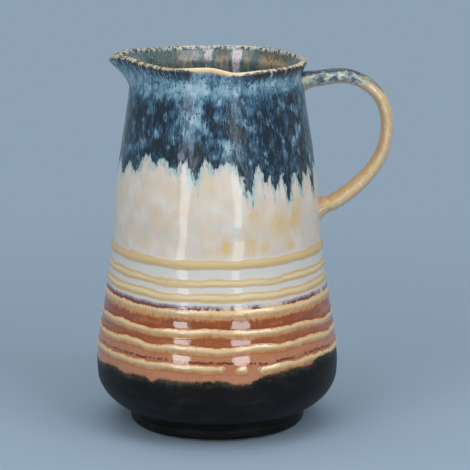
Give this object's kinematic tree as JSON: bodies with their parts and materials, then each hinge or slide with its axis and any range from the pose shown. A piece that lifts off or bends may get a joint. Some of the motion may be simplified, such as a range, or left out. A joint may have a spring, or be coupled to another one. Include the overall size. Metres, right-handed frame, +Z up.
{
  "type": "stoneware jug",
  "caption": "Wheel-thrown stoneware pitcher with a pulled spout, a strap handle, a turned foot and layered bands of blue, cream, amber and black glaze.",
  "frame": {"origin": "on the ground, at the centre of the turned foot ring", "axes": "+Z up along the jug's turning axis, +X towards the handle, -X towards the spout, -Y towards the viewer of the picture"},
  "size_m": [0.1685, 0.138, 0.2124],
  "materials": {
    "clay": "bare fired stoneware, matt and finely gritty",
    "liner_glaze": "glossy blue-grey glaze with dark specks",
    "blue_glaze": "glossy mottled navy and pale blue glaze, cream where it breaks over the lip",
    "cream_glaze": "glossy warm cream glaze with tan ripples",
    "amber_glaze": "glossy red-brown glaze that breaks cream over raised rings",
    "black_glaze": "satin black glaze",
    "handle_glaze": "glossy honey-cream glaze, mottled blue at the top"
  },
  "bodies": {
    "root": {"body": "clay", "handle": "clay", "handle_wad_upper": "clay", "handle_wad_lower": "clay", "liner_glaze": "liner_glaze", "blue_glaze": "blue_glaze", "cream_glaze": "cream_glaze", "amber_glaze": "amber_glaze", "black_glaze": "black_glaze", "handle_glaze": "handle_glaze"}
  },
  "joints": []
}
